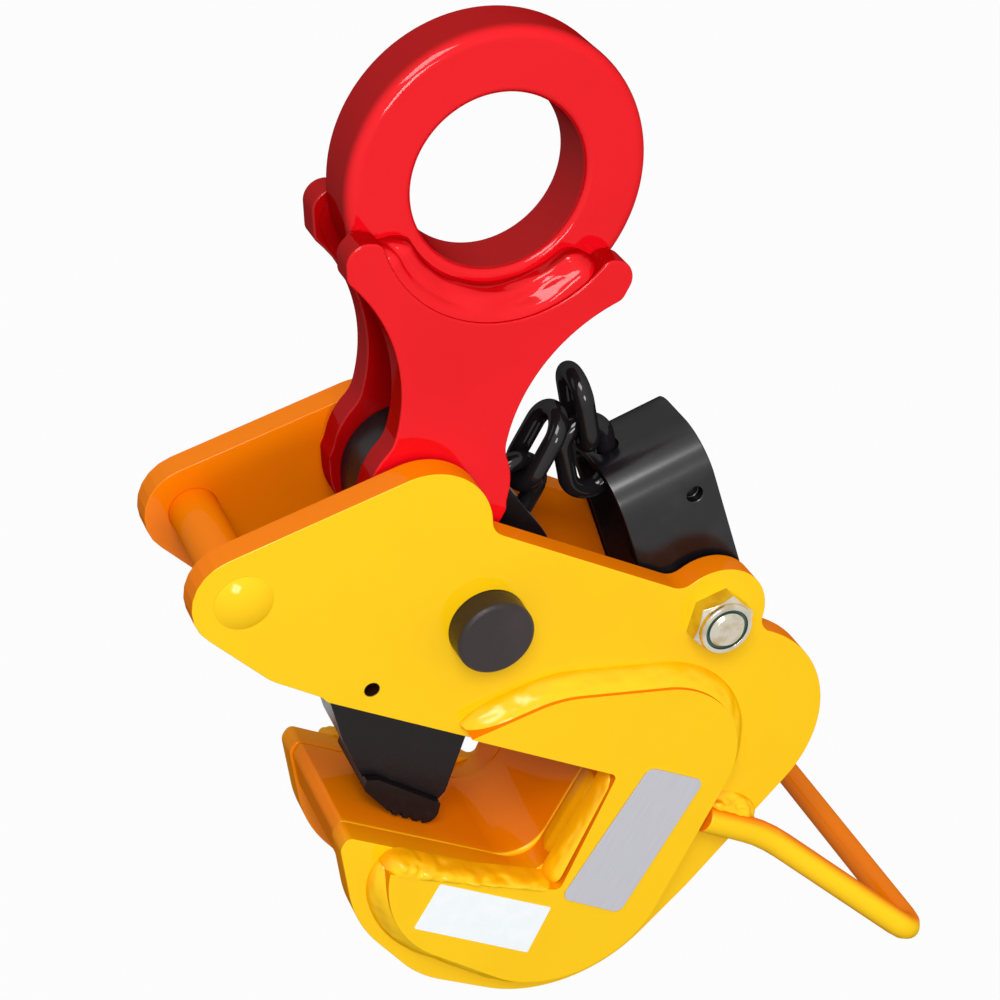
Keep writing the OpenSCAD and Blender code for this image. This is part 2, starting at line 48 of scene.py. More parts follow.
FLOOR_GREY, FLOOR_ROUGHNESS = 0.3, 0.9
WORLD_LEVEL = 0.58


def seen_share(tree):
    """1 for rays from the camera, mirrored and transmitted ones, 0 for the rest."""
    paths = tree.nodes.new("ShaderNodeLightPath")
    total = paths.outputs["Is Camera Ray"]
    for kind in ("Is Glossy Ray", "Is Transmission Ray"):
        adder = tree.nodes.new("ShaderNodeMath")
        adder.operation, adder.use_clamp = "ADD", True
        tree.links.new(total, adder.inputs[0])
        tree.links.new(paths.outputs[kind], adder.inputs[1])
        total = adder.outputs[0]
    return total


bpy.ops.object.select_all(action="DESELECT")
bpy.ops.mesh.primitive_plane_add(size=2 * FLOOR_HALF, location=(0, 0, FLOOR_Z))
floor = bpy.context.object
floor.name = "studio_floor"
floor_paint = bpy.data.materials.new("studio_floor_white")
floor_paint.use_nodes = True
floor_tree = floor_paint.node_tree
shaded = floor_tree.nodes["Principled BSDF"]
shaded.inputs["Base Color"].default_value = (FLOOR_GREY, FLOOR_GREY, FLOOR_GREY, 1)
shaded.inputs["Roughness"].default_value = FLOOR_ROUGHNESS
glow = floor_tree.nodes.new("ShaderNodeEmission")
glow.inputs["Color"].default_value = (1, 1, 1, 1)
white_share = floor_tree.nodes.new("ShaderNodeMath")
white_share.operation = "MULTIPLY"
white_share.inputs[1].default_value = FLOOR_WHITE
floor_mix = floor_tree.nodes.new("ShaderNodeMixShader")
floor_tree.links.new(seen_share(floor_tree), white_share.inputs[0])
floor_tree.links.new(white_share.outputs[0], floor_mix.inputs[0])
floor_tree.links.new(shaded.outputs[0], floor_mix.inputs[1])
floor_tree.links.new(glow.outputs[0], floor_mix.inputs[2])
floor_tree.links.new(floor_mix.outputs[0], floor_tree.nodes["Material Output"].inputs["Surface"])
floor.data.materials.append(floor_paint)

world = bpy.data.worlds.new("studio_world")
world.use_nodes = True
sky_tree = world.node_tree
sky = sky_tree.nodes["Background"]
sky.inputs["Color"].default_value = (1, 1, 1, 1)
sky.inputs["Strength"].default_value = WORLD_LEVEL
white_sky = sky_tree.nodes.new("ShaderNodeBackground")
white_sky.inputs["Color"].default_value = (1, 1, 1, 1)
sky_mix = sky_tree.nodes.new("ShaderNodeMixShader")
sky_tree.links.new(seen_share(sky_tree), sky_mix.inputs[0])
sky_tree.links.new(sky.outputs[0], sky_mix.inputs[1])
sky_tree.links.new(white_sky.outputs[0], sky_mix.inputs[2])
sky_tree.links.new(sky_mix.outputs[0], sky_tree.nodes["World Output"].inputs["Surface"])
bpy.context.scene.world = world
bpy.context.scene.view_settings.view_transform = "Standard"


# Two soft lamps: a broad one far in front of the plates, and a smaller one beside the
# camera that shines into the throat and along the stirrup's bend.
FRONT_LAMP_AT, FRONT_LAMP_AIM = (-0.5, -4.5, 0.3), (0.03, 0, 0)
FRONT_LAMP_SIZE, FRONT_LAMP_WATTS = 1.2, 63
SIDE_LAMP_AT, SIDE_LAMP_AIM = (-1.22, -1.28, 1.05), (0.02, 0, -0.04)
SIDE_LAMP_SIZE, SIDE_LAMP_WATTS = 0.9, 26


def soft_lamp(name, place, target, size, watts):
    """A square lamp at place that faces target."""
    lamp = bpy.data.lights.new(name, "AREA")
    lamp.shape, lamp.size, lamp.size_y = "RECTANGLE", size, size
    lamp.energy = watts
    holder = bpy.data.objects.new(name, lamp)
    bpy.context.collection.objects.link(holder)
    aim = Vector(target) - Vector(place)
    turned = aim.to_track_quat("-Z", "Y").to_matrix().to_4x4()
    holder.matrix_world = Matrix.Translation(place) @ turned


soft_lamp("front_lamp", FRONT_LAMP_AT, FRONT_LAMP_AIM, FRONT_LAMP_SIZE, FRONT_LAMP_WATTS)
soft_lamp("side_lamp", SIDE_LAMP_AT, SIDE_LAMP_AIM, SIDE_LAMP_SIZE, SIDE_LAMP_WATTS)

# The camera stands in front of the left end of the clamp and is rolled, so that
# the level throat of the part's own frame tilts as it does in the photograph.
FOCUS_PX = 2303.4
IMAGE_PX = 1000
SENSOR_MM = 36
CAMERA_AT = (-0.4965, -0.7212, 0.3138)
CAMERA_RIGHT, CAMERA_AHEAD = (0.8001, -0.3747, 0.4684), (0.5435, 0.7833, -0.3018)
NEAREST, FARTHEST = 0.01, 200
camera_right = Vector(CAMERA_RIGHT).normalized()
camera_back = -Vector(CAMERA_AHEAD).normalized()
camera_up = camera_back.cross(camera_right).normalized()
camera_right = camera_up.cross(camera_back).normalized()
camera_data = bpy.data.cameras.new("photo_camera")
camera_data.sensor_width = SENSOR_MM
camera_data.lens = FOCUS_PX / IMAGE_PX * SENSOR_MM
camera_data.clip_start, camera_data.clip_end = NEAREST, FARTHEST
camera = bpy.data.objects.new("photo_camera", camera_data)
bpy.context.collection.objects.link(camera)
turn = Matrix((camera_right, camera_up, camera_back)).transposed().to_4x4()
camera.matrix_world = Matrix.Translation(CAMERA_AT) @ turn
bpy.context.scene.camera = camera


# The hook's plates, liner, spacer rod and carry handle: flame-cut steel plate and round bar
# with ground edges, welded together under glossy yellow enamel with painted shade, deeper
# orange on edges and inner faces. The paint rounds every edge a little.
MM = 0.001
PLATE_EDGE, LINER_EDGE, ROD_EDGE, HANDLE_EDGE = 0.8 * MM, 1.5 * MM, 0.6 * MM, 0.8 * MM
SHARPER_THAN, HANDLE_SHARPER_THAN = 35, 60
# The third yellow is painted shade for edges and inner faces; the jaw's colour is painted light on
# the jaw's low outer edges; the relief hole's inside is painted dark as shade.
RELIEF_HOLE = (-32.4 * MM, -39.9 * MM, 3.0 * MM)
YELLOW, YELLOW_PATCH, YELLOW_SHADED = (0.92, 0.55, 0.004), (0.90, 0.52, 0.0035), (0.87, 0.205, 0.001)
JAW_LIT = (-98 * MM, (0.93, 0.36, 0.0015))


class Flow:
    """A shader socket that can be used in sums."""

    def __init__(self, maker, socket):
        self.maker, self.socket = maker, socket

    def _sum(self, operation, first, second):
        return self.maker.node("ShaderNodeMath", {"operation": operation}, {0: first, 1: second})

    def __add__(self, other):
        return self._sum("ADD", self, other)

    __radd__ = __add__

    def __sub__(self, other):
        return self._sum("SUBTRACT", self, other)

    def __rsub__(self, other):
        return self._sum("SUBTRACT", other, self)

    def __mul__(self, other):
        return self._sum("MULTIPLY", self, other)

    __rmul__ = __mul__


class Finish:
    """A material being put together: every method below adds nodes to it."""

    def __init__(self, name, colour, roughness, metallic=0.0):
        self.material = bpy.data.materials.new(name)
        self.material.use_nodes = True
        self.tree = self.material.node_tree
        self.shader = self.tree.nodes["Principled BSDF"]
        self.shader.inputs["Base Color"].default_value = (*colour, 1)
        self.shader.inputs["Roughness"].default_value = roughness
        self.shader.inputs["Metallic"].default_value = metallic
        self.place = self.node("ShaderNodeTexCoord", {}, {}, "Object")

    def node(self, kind, settings, values, output=0):
        """Any node: its settings are set first, then its sockets get a link or a value."""
        made = self.tree.nodes.new(kind)
        for key, value in settings.items():
            setattr(made, key, value)
        for key, value in values.items():
            if isinstance(value, Flow):
                self.tree.links.new(value.socket, made.inputs[key])
            else:
                made.inputs[key].default_value = value
        return Flow(self, made.outputs[output])

    def noise(self, scale, detail=3.0, roughness=0.5, where=None):
        """Noise on object coordinates, about as many lumps to a metre as scale says."""
        return self.node("ShaderNodeTexNoise", {},
                         {"Vector": where or self.place, "Scale": scale, "Detail": detail,
                          "Roughness": roughness})

    def fade(self, value, low, high):
        """0 below low, 1 above high and smooth in between."""
        return self.node("ShaderNodeMapRange", {"interpolation_type": "SMOOTHSTEP"},
                         {"Value": value, "From Min": low, "From Max": high})

    def blend(self, mask, first, second):
        """The first colour where mask is 0, the second where it is 1."""
        made = self.tree.nodes.new("ShaderNodeMix")
        made.data_type = "RGBA"
        self.tree.links.new(mask.socket, made.inputs[0])
        for slot, colour in ((6, first), (7, second)):
            if isinstance(colour, Flow):
                self.tree.links.new(colour.socket, made.inputs[slot])
            else:
                made.inputs[slot].default_value = (*colour, 1)
        return Flow(self, made.outputs[2])

    def feed(self, name, value):
        """Links a value to a socket of the shader."""
        self.tree.links.new(value.socket, self.shader.inputs[name])

    def gloss(self, weight, roughness=0.08):
        """A clear top coat that shines where the surface faces the eye."""
        self.shader.inputs["Coat Roughness"].default_value = roughness
        self.shader.inputs["Specular IOR Level"].default_value = 0.0
        slant = self.node("ShaderNodeLayerWeight", {}, {"Blend": 0.5}, "Facing")
        straight = 1 - slant
        self.feed("Coat Weight", straight * straight * weight)

    def roughen(self, mask, least, most):
        """Roughness least where mask is 0, most where it is 1."""
        self.feed("Roughness", mask * (most - least) + least)

    def bump(self, height, strength, distance):
        self.feed("Normal", self.node("ShaderNodeBump", {}, {"Height": height, "Strength": strength,
                                                             "Distance": distance}, "Normal"))


def enamel(name, colour, patch_colour, shaded_colour, gloss, sheen=0.08, hole=None, lit_jaw=None):
    """Spray enamel with painted shade: the given colour on faces that look away from the middle
    plane, a deeper shaded colour on edges and inner faces. gloss is the weight of its clear coat
    and sheen the coat's roughness, hole the X, Z and radius of a drilled hole whose inside is
    painted dark as shade; the last argument gives the Z below which the shaded colour turns, towards
    the outside, to a paler colour that is painted light, and that colour."""
    shaded_up_to, lit_from = 0.1, 0.85
    lit_jaw_edge, lit_jaw_share, lit_jaw_from_y, lit_jaw_to_y = 8 * MM, 0.8, 18 * MM, 44 * MM
    hole_shade, hole_shade_edge = (0.03, 0.008, 0.004), 0.5 * MM
    peel_share = 0.2
    paint = Finish(name, colour, roughness=0.24)
    paint.gloss(gloss, sheen)
    normal = paint.node("ShaderNodeTexCoord", {}, {}, "Normal")
    facing = paint.node("ShaderNodeSeparateXYZ", {}, {"Vector": normal}, "Y")
    place_y = paint.node("ShaderNodeSeparateXYZ", {}, {"Vector": paint.place}, "Y")
    side = paint.node("ShaderNodeMath", {"operation": "SIGN"}, {0: place_y})
    # Painted shade: faces that turn away from the outward side get the deeper shaded colour.
    lit_share = paint.fade(facing * side, shaded_up_to, lit_from)
    patches = paint.fade(paint.noise(scale=14, detail=4), low=0.42, high=0.75)
    sprayed = paint.blend(patches, colour, patch_colour)
    # Painted light: a paler colour on the edges of the jaw's low outer parts.
    if lit_jaw:
        lit_jaw_z, lit_jaw_colour = lit_jaw
        depth = paint.node("ShaderNodeSeparateXYZ", {}, {"Vector": paint.place}, "Z") * -1
        deep = paint.fade(depth, -lit_jaw_z, lit_jaw_edge - lit_jaw_z)
        outer = paint.fade(place_y * side, lit_jaw_from_y, lit_jaw_to_y)
        shaded_colour = paint.blend(deep * outer * lit_jaw_share, shaded_colour, lit_jaw_colour)
    coat = paint.blend(lit_share, shaded_colour, sprayed)
    # Painted shade: the drilled hole's inside is dark.
    if hole:
        hole_x, hole_z, hole_r = hole
        flat = paint.node("ShaderNodeVectorMath", {"operation": "MULTIPLY"},
                          {0: paint.place, 1: (1, 0, 1)}, "Vector")
        away = paint.node("ShaderNodeVectorMath", {"operation": "DISTANCE"},
                          {0: flat, 1: (hole_x, 0, hole_z)}, "Value")
        coat = paint.blend(paint.fade(away, hole_r, hole_r + hole_shade_edge), hole_shade, coat)
    paint.feed("Base Color", coat)
    rubbed = paint.fade(paint.noise(scale=38, detail=5, roughness=0.6), low=0.5, high=0.72)
    paint.roughen(rubbed, least=0.17, most=0.31)
    peel = paint.noise(scale=900, detail=2, roughness=0.4)
    runs = paint.noise(scale=60, detail=2, roughness=0.4)
    paint.bump(peel * peel_share + runs, strength=0.18, distance=0.9 * MM)
    return paint.material


def own_copy(node, body, name):
    """A copy of a CAD node's mesh with its triangles merged, riding on the node's body."""
    same_point, same_plane = 0.02 * MM, math.radians(0.5)
    made = bpy.data.objects.new(name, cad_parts[node].data.copy())
    bpy.context.collection.objects.link(made)
    bpy.ops.object.select_all(action="DESELECT")
    bpy.context.view_layer.objects.active = made
    made.select_set(True)
    bpy.ops.object.mode_set(mode="EDIT")
    bpy.ops.mesh.select_all(action="SELECT")
    bpy.ops.mesh.remove_doubles(threshold=same_point)
    bpy.ops.mesh.dissolve_limited(angle_limit=same_plane)
    bpy.ops.object.mode_set(mode="OBJECT")
    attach(made, body)
    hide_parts(node)
    return made


def round_edges(piece, width, segments=3, sharper_than=SHARPER_THAN):
    """Rounds the edges that bend by more degrees than sharper_than, shades the rest smoothly
    and keeps flat faces flat."""
    smooth_below, flat_weight = math.radians(32), 100
    bevel = piece.modifiers.new("edge", "BEVEL")
    bevel.width, bevel.segments = width, segments
    bevel.limit_method, bevel.angle_limit = "ANGLE", math.radians(sharper_than)
    bevel.use_clamp_overlap = True
    bevel.harden_normals = False
    bpy.context.view_layer.objects.active = piece
    bpy.ops.object.modifier_apply(modifier="edge")
    bpy.ops.object.select_all(action="DESELECT")
    piece.select_set(True)
    bpy.ops.object.shade_smooth_by_angle(angle=smooth_below)
    flat = piece.modifiers.new("flat", "WEIGHTED_NORMAL")
    flat.weight, flat.keep_sharp = flat_weight, True
    bpy.ops.object.modifier_apply(modifier="flat")


def dress(piece, material):
    """Gives the piece its only material."""
    piece.data.materials.clear()
    piece.data.materials.append(material)


yellow_enamel = enamel("yellow_enamel", YELLOW, YELLOW_PATCH, YELLOW_SHADED, gloss=0.5,
                       hole=RELIEF_HOLE, lit_jaw=JAW_LIT)
for node, edge, sharper_than in (
        ("front_side_plate", PLATE_EDGE, SHARPER_THAN), ("rear_side_plate", PLATE_EDGE, SHARPER_THAN),
        ("front_doubler_plate", PLATE_EDGE, SHARPER_THAN),
        ("rear_doubler_plate", PLATE_EDGE, SHARPER_THAN),
        ("jaw_liner", LINER_EDGE, SHARPER_THAN), ("spacer_rod", ROD_EDGE, SHARPER_THAN),
        ("carry_handle", HANDLE_EDGE, HANDLE_SHARPER_THAN)):
    part = own_copy(node, "hook", node + "_painted")
    round_edges(part, edge, sharper_than=sharper_than)
    dress(part, yellow_enamel)


# The weld bead round the outside of each doubler: steel laid by hand in the corner between
# two faces, slightly crowned, with ripples and lumps, and painted over with the plate. It
# leaves out the jaw's mouth and the root of the handle.
# The beads' third colour is painted shade, paler than the plates'.
WELD_SHADED = (0.92, 0.38, 0.002)
SIDE_FACE_Y = abs(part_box("front_side_plate")[0][1])
MOUTH_X, MOUTH_TOP, MOUTH_FLOOR = 17.5 * MM, -47.0 * MM, -113.4 * MM
HANDLE_X, HANDLE_Z, HANDLE_CLEAR = 130 * MM, -57.6 * MM, 8 * MM
DOUBLER_LEG, DOUBLER_RISE, DOUBLER_BLUNT = 7.0 * MM, 8.2 * MM, 20 * MM
DOUBLER_STEP, CORNER_REACH, SHORTEST_RUN = 1.2 * MM, 2, 4
weld_enamel = enamel("yellow_weld_enamel", YELLOW, YELLOW_PATCH, WELD_SHADED, gloss=0.65, sheen=0.15)


def weld_bead(name, stations, material, slot, body, rough, seed, crown=0.0, blunt=8 * MM,
              passes=0, lumps_per_m=210):
    """A bead along stations of (corner, one leg, other leg), the legs as vectors from the corner.
    rough is the height of its lumps and crown that of its middle, as shares of the legs, blunt
    the length of its round ends, and passes the number of ridges that run along it."""
    section, sunk, seat = 15, 0.18, 0.3 * MM
    end_share, smooth_below = 0.04, math.radians(70)
    ridge, ridge_low, sway_per_m = 0.9, 0.5, 30
    ripple, ripples_per_m, ripple_slip = 0.9, 45, 0.3
    lump_height, grain_height, grain_per_lump = 1.5, 0.6, 2.3
    mesh = bpy.data.meshes.new(name)
    points, faces = [], []
    ran = [0.0]
    for (start, _, _), (end, _, _) in zip(stations, stations[1:]):
        ran.append(ran[-1] + (end - start).length)
    for run, (corner, one_leg, other_leg) in zip(ran, stations):
        to_end = min(1.0, min(run, ran[-1] - run) / blunt)
        taper = end_share + (1 - end_share) * math.sqrt(1 - (1 - to_end) ** 2)
        for k in range(section):
            turn = math.pi / 2 * k / (section - 1)
            flat = one_leg * math.cos(turn) + other_leg * math.sin(turn)
            if passes:
                sway = noise.noise(Vector((run * sway_per_m, 3, seed)))
                lump = ridge * abs(math.sin(turn * passes + sway)) - ridge_low
                lump += ripple * noise.noise(Vector((run * ripples_per_m, k * ripple_slip, seed)))
            else:
                spot = (corner + flat) * lumps_per_m + Vector((seed, 0, 0))
                lump = lump_height * noise.noise(spot)
                lump += grain_height * noise.noise(spot * grain_per_lump)
            swell = 1.0 + (crown - sunk + lump * rough) * math.sin(2 * turn)
            points.append(corner + flat * (swell * taper))
        points.append(corner - (one_leg.normalized() + other_leg.normalized()) * seat)
    ring = section + 1
    for i in range(len(stations) - 1):
        for k in range(ring):
            a, b = i * ring + k, i * ring + (k + 1) % ring
            faces.append((a, b, b + ring, a + ring))
    last = (len(stations) - 1) * ring
    faces.append(tuple(range(ring)))
    faces.append(tuple(last + k for k in reversed(range(ring))))
    mesh.from_pydata(points, [], faces)
    bead = bpy.data.objects.new(name, mesh)
    bpy.context.collection.objects.link(bead)
    bpy.ops.object.select_all(action="DESELECT")
    bpy.context.view_layer.objects.active = bead
    bead.select_set(True)
    bpy.ops.object.mode_set(mode="EDIT")
    bpy.ops.mesh.select_all(action="SELECT")
    bpy.ops.mesh.normals_make_consistent(inside=False)
    bpy.ops.object.mode_set(mode="OBJECT")
    bpy.ops.object.shade_smooth_by_angle(angle=smooth_below)
    dress(bead, material)
    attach(bead, body)
    return bead


def hook_bead(name, stations, **shape):
    """A bead on the hook, painted yellow."""
    return weld_bead(name, stations, weld_enamel, "yellow_paint", "hook", **shape)


def on_side_plate(side, x, z):
    """A point on the outer face of the front (-1) or rear (1) side plate."""
    return Vector((x, side * SIDE_FACE_Y, z))


def hull_outline(points):
    """The convex outline round 2D points, counter-clockwise."""
    points = sorted(set((round(x, 6), round(z, 6)) for x, z in points))

    def half(run):
        chain = []
        for p in run:
            while len(chain) > 1 and ((chain[-1][0] - chain[-2][0]) * (p[1] - chain[-2][1])
                                      - (chain[-1][1] - chain[-2][1]) * (p[0] - chain[-2][0])) <= 0:
                chain.pop()
            chain.append(p)
        return chain[:-1]
    return half(points) + half(points[::-1])


def even_steps(outline, step):
    """Points at even steps along a closed outline, with the outward direction at each."""
    made = []
    for i, start in enumerate(outline):
        start, end = Vector(start), Vector(outline[(i + 1) % len(outline)])
        count = max(1, round((end - start).length / step))
        out = Vector((end.y - start.y, start.x - end.x)).normalized()
        made += [(start.lerp(end, k / count), out) for k in range(count)]
    return made


def bent_out(steps, reach):
    """Averages the outward directions over neighbouring steps, so that corners turn smoothly."""
    made = []
    for i, (place, _) in enumerate(steps):
        near = (steps[(i + j) % len(steps)][1] for j in range(-reach, reach + 1))
        made.append((place, sum(near, Vector((0, 0))).normalized()))
    return made


def outline_runs(steps, side):
    """The stations of each run of the outline between the jaw's mouth and the handle."""
    runs, run = [], []
    for p, out in steps + steps[:1]:
        at_mouth = p.x < MOUTH_X and MOUTH_FLOOR < p.y < MOUTH_TOP
        at_handle = p.x > HANDLE_X and abs(p.y - HANDLE_Z) < HANDLE_CLEAR
        if at_mouth or at_handle:
            runs.append(run)
            run = []
        else:
            run.append((on_side_plate(side, p.x, p.y), Vector((out.x, 0, out.y)) * DOUBLER_LEG,
                        Vector((0, side * DOUBLER_RISE, 0))))
    return [run for run in runs + [run] if len(run) > SHORTEST_RUN]


for side, node in ((-1, "front"), (1, "rear")):
    corners = [(v.co.x, v.co.z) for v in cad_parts[node + "_doubler_plate"].data.vertices]
    steps = bent_out(even_steps(hull_outline(corners), DOUBLER_STEP), CORNER_REACH)
    beads = [hook_bead(f"{node}_doubler_bead_{i}", run, rough=0.06, seed=side * 3.0 + i,
                       blunt=DOUBLER_BLUNT, lumps_per_m=120)
             for i, run in enumerate(outline_runs(steps, side))]
    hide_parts(node + "_doubler_weld")

# The bead along the doubler's throat edge: heavy and rough on the jaw's floor, where
# the doubler stands back from the side plate, and smooth up the back of the throat.
JAW_FLOOR_Z, THROAT_BACK_X = -107.5 * MM, 88.8 * MM
LIP_START, LIP_CORNER = (11 * MM, -113.9 * MM), (93.2 * MM, -105.3 * MM)
LIP_OUT, LIP_FALL, LIP_OVER_FLOOR, LIP_LEAST = 10.4 * MM, 1.2 * MM, 1.0 * MM, 3.0 * MM
LIP_STEP, LIP_SEED = 1.2 * MM, 31
BACK_TOP = (88.9 * MM, -46.5 * MM)
FRONT_BACK_FOOT, REAR_BACK_FOOT = (LIP_CORNER[0], LIP_CORNER[1] - 1.5 * MM), (92 * MM, -86 * MM)
BACK_OUT, BACK_LEAST, BACK_PAST_WALL = 8.6 * MM, 2.2 * MM, 1.2 * MM
BACK_STEP, BACK_SEED = 1.5 * MM, 41


def even_path(corners, step):
    """Points at even steps along an open path of 2D points."""
    made = []
    for start, end in zip(corners, corners[1:]):
        start, end = Vector(start), Vector(end)
        count = max(1, round((end - start).length / step))
        made += [start.lerp(end, k / count) for k in range(count)]
    return made + [Vector(corners[-1])]


for side, node, back_foot in ((-1, "front", FRONT_BACK_FOOT), (1, "rear", REAR_BACK_FOOT)):
    stations = []
    for p in even_path([LIP_START, LIP_CORNER], LIP_STEP):
        lip_up = max(LIP_LEAST, JAW_FLOOR_Z - p.y + LIP_OVER_FLOOR)
        stations.append((on_side_plate(side, p.x, p.y), Vector((0, side * LIP_OUT, -LIP_FALL)),
                         Vector((0, 0, lip_up))))
    hook_bead(node + "_lip_bead", stations, rough=0.2, seed=LIP_SEED + side, crown=0.36,
              lumps_per_m=180)
    stations = []
    for p in even_path([back_foot, BACK_TOP], BACK_STEP):
        back_in = min(-BACK_LEAST, THROAT_BACK_X - p.x - BACK_PAST_WALL)
        stations.append((on_side_plate(side, p.x, p.y), Vector((0, side * BACK_OUT, 0)),
                         Vector((back_in, 0, 0))))
    hook_bead(node + "_back_bead", stations, rough=0.06, seed=BACK_SEED + side, crown=0.1)

# The broad flat bead that joins the liner's back wall to the edge of each side plate:
# two low halves, one sloping to the liner and one to the plate's outer face.
LINER_SEAM_Y, LINER_SEAM_BEHIND, LINER_SEAM_TOP = 34.5 * MM, 0.2 * MM, -54 * MM
LINER_HALF, LINER_RISE, LINER_STEP, LINER_SEED = 5.6 * MM, 1.3 * MM, 1.6 * MM, 51
for side, node, seam_foot in ((-1, "front", -97 * MM), (1, "rear", -80 * MM)):
    for half, reach in (("inner", -1), ("outer", 1)):
        stations = [(Vector((THROAT_BACK_X + LINER_SEAM_BEHIND, side * LINER_SEAM_Y, p.y)),
                     Vector((0, side * reach * LINER_HALF, 0)), Vector((-LINER_RISE, 0, 0)))
                    for p in even_path([(0, seam_foot), (0, LINER_SEAM_TOP)], LINER_STEP)]
        hook_bead(f"{node}_liner_bead_{half}", stations, rough=0.05, seed=LINER_SEED + side,
                  crown=0.05)

# The welds of the handle: the bar's root lies on the side plate with a rough bead
# above and below it.
ROOT_START, ROOT_END, ROOT_OFF_AXIS = 142 * MM, 177 * MM, 2.0 * MM
ROOT_STEPS, ROOT_BLUNT, ROOT_SEED = 29, 16 * MM, 61
UPPER_LEGS, LOWER_LEGS = (10.5 * MM, 7.8 * MM), (7 * MM, 6 * MM)
for side, node in ((-1, "front"), (1, "rear")):
    for name, up, (width, depth) in (("upper", 1, UPPER_LEGS), ("lower", -1, LOWER_LEGS)):
        stations = []
        for i in range(ROOT_STEPS + 1):
            x = ROOT_START + (ROOT_END - ROOT_START) * i / ROOT_STEPS
            stations.append((on_side_plate(side, x, HANDLE_Z + up * ROOT_OFF_AXIS),
                             Vector((0, 0, up * width)), Vector((0, side * depth, 0))))
        hook_bead(f"{node}_handle_bead_{name}", stations, rough=0.24, seed=ROOT_SEED + side + up,
                  blunt=ROOT_BLUNT, lumps_per_m=170)

# The red lifting eye: a thick forged ring between two plate arms, joined by heavy
# welds that run in the arms' cups and along their rims, all under glossy red enamel.
# The third red is painted shade on the eye's edges and inner faces.
RED, RED_PATCH, RED_SHADED = (0.74, 0.003, 0.008), (0.70, 0.0025, 0.007), (0.38, 0.001, 0.002)
RING_EDGE, RING_SHARPER_THAN, ARM_EDGE = 0.4 * MM, 60, 0.9 * MM
EYE_MIDDLE, EYE_LEAN = Vector((-73.47 * MM, 0, 157.88 * MM)), math.radians(16.1)
EYE_HALF_T, CUP_R, RIM_R = 13.4 * MM, 50.3 * MM, 58.75 * MM
CUP_FROM, CUP_TO, RIM_FROM, RIM_TO = -150, -30, -157, -23
CUP_CLEAR, CUP_LEG, CUP_RISE = 0.3 * MM, 12 * MM, 10.8 * MM
RIM_IN, RIM_SUNK, RIM_LEG, RIM_RISE = 4.5 * MM, 1.5 * MM, 9 * MM, 8 * MM
EYE_BEAD_STEPS, CUP_SEED, RIM_SEED = 110, 11, 21
red_enamel = enamel("red_enamel", RED, RED_PATCH, RED_SHADED, gloss=0.6)


def around_eye(radius, y, start, end, leg_in, leg_out):
    """Stations of an arc round the eye's middle, angles from the arms' own upright; one leg
    along the radius, inward where leg_in is positive, the other away from the middle plane."""
    made = []
    for i in range(EYE_BEAD_STEPS + 1):
        turn = math.radians(start + (end - start) * i / EYE_BEAD_STEPS)
        out = Vector((math.cos(turn), 0, math.sin(turn)))
        out.rotate(Matrix.Rotation(-EYE_LEAN, 3, "Y"))
        made.append((EYE_MIDDLE + out * radius + Vector((0, y, 0)), -out * leg_in,
                     Vector((0, math.copysign(leg_out, y), 0))))
    return made


ring = own_copy("lifting_ring", "lifting_eye", "lifting_ring_painted")
round_edges(ring, RING_EDGE, sharper_than=RING_SHARPER_THAN)
dress(ring, red_enamel)
for node in ("front_ring_arm", "rear_ring_arm"):
    arm = own_copy(node, "lifting_eye", node + "_painted")
    round_edges(arm, ARM_EDGE)
    dress(arm, red_enamel)
for side, node in ((-1, "front"), (1, "rear")):
    in_cup = around_eye(CUP_R + CUP_CLEAR, side * EYE_HALF_T, CUP_FROM, CUP_TO, CUP_LEG, CUP_RISE)
    cup = weld_bead(node + "_cup_bead", in_cup, red_enamel, "red_paint", "lifting_eye",
                    rough=0.2, seed=CUP_SEED + side, crown=0.1, passes=3)
    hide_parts(node + "_ring_weld")
    on_rim = around_eye(RIM_R - RIM_IN, side * (EYE_HALF_T - RIM_SUNK), RIM_FROM, RIM_TO,
                        -RIM_LEG, RIM_RISE)
    weld_bead(node + "_rim_bead", on_rim, red_enamel, "red_paint", "lifting_eye",
              rough=0.14, seed=RIM_SEED + side, crown=0.1, passes=1)

# The cam with its shoe, the ring pin and the main pin with its spacers: forged and
# turned steel, blackened; the cam has a thin half-gloss black paint.
CAM_EDGE, SHOE_EDGE, CAM_PITS, CAM_SHINE = 1.6 * MM, 0.9 * MM, 0.6 * MM, 0.2
CAM_BLACK, CAM_DULL, CAM_WORN = (0.008, 0.006, 0.007), (0.0075, 0.0055, 0.0065), (0.014, 0.011, 0.012)
PIN_EDGE, PIN_GRAIN, PIN_METAL = 0.5 * MM, 0.4 * MM, 0.35
PIN_GREY, PIN_BROWN, PIN_RUBBED = (0.05, 0.042, 0.045), (0.024, 0.015, 0.015), (0.034, 0.023, 0.022)
cam_black = Finish("cam_black", CAM_BLACK, roughness=0.4)
cam_black.shader.inputs["Specular IOR Level"].default_value = CAM_SHINE
cam_wear = cam_black.fade(cam_black.noise(scale=70, detail=5, roughness=0.65), low=0.52, high=0.78)
cam_black.feed("Base Color", cam_black.blend(cam_wear, CAM_DULL, CAM_WORN))
cam_black.roughen(cam_wear, least=0.32, most=0.52)
cam_pits = cam_black.noise(scale=240, detail=4, roughness=0.6)
cam_black.bump(cam_pits, strength=0.25, distance=CAM_PITS)

pin_black = Finish("pin_black", PIN_GREY, roughness=0.42, metallic=PIN_METAL)
pin_grain = pin_black.noise(scale=420, detail=4, roughness=0.6)
pin_wear = pin_black.fade(pin_black.noise(scale=45, detail=4), low=0.4, high=0.7)
pin_black.feed("Base Color", pin_black.blend(pin_wear, PIN_BROWN, PIN_RUBBED))
pin_black.roughen(pin_grain, least=0.34, most=0.54)
pin_black.bump(pin_grain, strength=0.15, distance=PIN_GRAIN)

